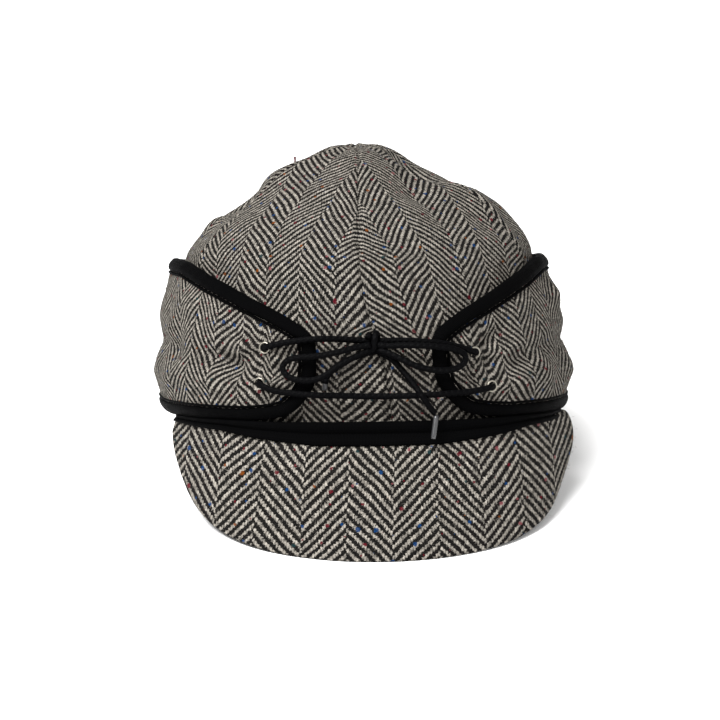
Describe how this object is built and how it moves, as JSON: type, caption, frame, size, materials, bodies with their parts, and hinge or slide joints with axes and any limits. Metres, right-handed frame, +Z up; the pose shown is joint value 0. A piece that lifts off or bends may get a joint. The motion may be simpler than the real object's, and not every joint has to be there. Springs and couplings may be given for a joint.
{
  "type": "railroad engineer cap",
  "caption": "Soft six-panel wool cap with a laced ear band bound in black tape, a small bow at the front and a short curved cloth visor.",
  "frame": {"origin": "middle of the bounding box without the lace, at the surface that the cap rests on", "axes": "+Z up from the surface, +Y from the visor towards the back of the cap, +X towards the wearer's left"},
  "size_m": [0.1892, 0.2498, 0.1426],
  "materials": {
    "wool_tweed": "herringbone wool tweed in cream and black with small coloured flecks, matt and slightly hairy",
    "binding_tape": "matt black woven tape, folded and stitched",
    "eyelet_metal": "worn bright metal",
    "lace_cord": "matt black round braided cord",
    "lace_tip_plastic": "translucent grey film wound on the lace's end"
  },
  "bodies": {
    "root": {"crown_front_left": "wool_tweed", "crown_front_right": "wool_tweed", "crown_side_left": "wool_tweed", "crown_side_right": "wool_tweed", "crown_back_left": "wool_tweed", "crown_back_right": "wool_tweed", "ear_band_left": "wool_tweed", "ear_band_right": "wool_tweed", "visor": "wool_tweed", "edge_tape_left": "binding_tape", "edge_tape_right": "binding_tape", "visor_seam_tape": "binding_tape", "eyelet_left_upper": "eyelet_metal", "eyelet_left_lower": "eyelet_metal", "eyelet_right_upper": "eyelet_metal", "eyelet_right_lower": "eyelet_metal", "lace_upper_left": "lace_cord", "lace_upper_right": "lace_cord", "lace_lower": "lace_cord", "bow_loop_left": "lace_cord", "bow_loop_right": "lace_cord", "lace_end_left": "lace_cord", "lace_end_right": "lace_cord", "lace_knot": "lace_cord", "lace_tip_left": "lace_tip_plastic", "lace_tip_right": "lace_tip_plastic"}
  },
  "joints": []
}
